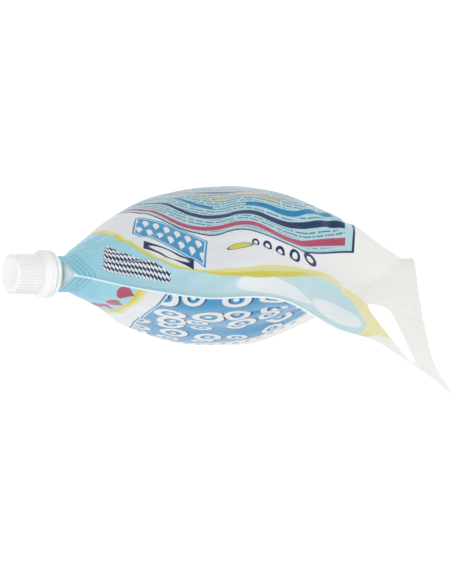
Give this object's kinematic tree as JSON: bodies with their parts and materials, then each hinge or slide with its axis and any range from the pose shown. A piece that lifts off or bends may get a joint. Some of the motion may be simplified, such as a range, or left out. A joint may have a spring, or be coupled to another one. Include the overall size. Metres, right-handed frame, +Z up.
{
  "type": "hand soap refill pouch",
  "caption": "Stand-up film refill pouch for liquid hand soap, with a slanted corner spout, ribbed screw cap and die-cut carry handle.",
  "frame": {"origin": "middle of the pouch's flat underside, on the surface it stands on", "axes": "+Z up, +X across the front from the spout's side to the handle's side, +Y out of the back"},
  "size_m": [0.2437, 0.1247, 0.2556],
  "materials": {
    "pouch_film": "printed glossy laminate film",
    "spout_plastic": "moulded natural polyethylene",
    "cap_plastic": "moulded white polypropylene",
    "liner_foam": "foamed polyethylene sheet"
  },
  "bodies": {
    "pack": {"pouch": "pouch_film", "spout": "spout_plastic", "tamper_band": "cap_plastic"},
    "liner": {"cap_liner": "liner_foam"},
    "cap": {"cap": "cap_plastic"}
  },
  "joints": [
    {"name": "cap_rise", "type": "slide", "parent": "pack", "child": "liner", "axis": [-0.7986, 0, 0.6018], "range_m": [0, 0.006]},
    {"name": "cap_turn", "type": "hinge", "parent": "liner", "child": "cap", "pos_m": [-0.0984, -0.0069, 0.2318], "axis": [-0.7986, 0, 0.6018], "range_deg": [0, 720]}
  ],
  "couplings": [
    {"joint": "cap_rise", "follows": "cap_turn", "m_per_rad": 0.00047746}
  ]
}
